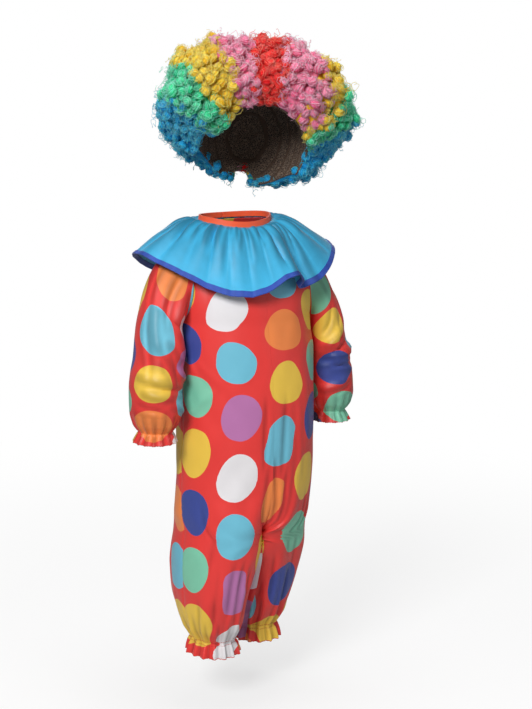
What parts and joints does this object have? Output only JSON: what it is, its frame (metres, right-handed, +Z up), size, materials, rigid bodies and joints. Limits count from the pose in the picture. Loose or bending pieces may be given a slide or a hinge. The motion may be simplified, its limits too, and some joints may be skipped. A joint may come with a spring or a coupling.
{
  "type": "clown costume",
  "caption": "Toddler's clown costume worn hollow: dotted jumpsuit with a gathered ruffle collar, elastic cuffs and ankles, and a curly rainbow wig.",
  "frame": {"origin": "centre of the neck opening, level with the neck points of the shoulders", "axes": "+Z up, from hems to wig; -Y is where the wearer's chest faces; +X is the wearer's left"},
  "size_m": [0.3504, 0.2583, 0.8736],
  "materials": {
    "red_satin": "polyester satin, red, printed with large dots in seven colours",
    "turquoise_cloth": "plain weave polyester, sky blue",
    "blue_tape": "bias tape, royal blue",
    "orange_tape": "bias tape, orange",
    "wig_net": "net cap, brown",
    "hair_red": "curly synthetic hair, red",
    "hair_pink": "curly synthetic hair, pink",
    "hair_yellow": "curly synthetic hair, yellow",
    "hair_green": "curly synthetic hair, green",
    "hair_blue": "curly synthetic hair, blue"
  },
  "bodies": {
    "root": {"front_left": "red_satin", "front_right": "red_satin", "back_left": "red_satin", "back_right": "red_satin", "sleeve_left": "red_satin", "sleeve_right": "red_satin", "collar": "turquoise_cloth", "collar_binding": "blue_tape", "neck_binding": "orange_tape", "wig_cap": "wig_net", "wig_hair_blue_right": "hair_blue", "wig_hair_green_right": "hair_green", "wig_hair_yellow_right": "hair_yellow", "wig_hair_pink_right": "hair_pink", "wig_hair_red_middle": "hair_red", "wig_hair_pink_left": "hair_pink", "wig_hair_yellow_left": "hair_yellow", "wig_hair_green_left": "hair_green", "wig_hair_blue_left": "hair_blue"}
  },
  "joints": []
}
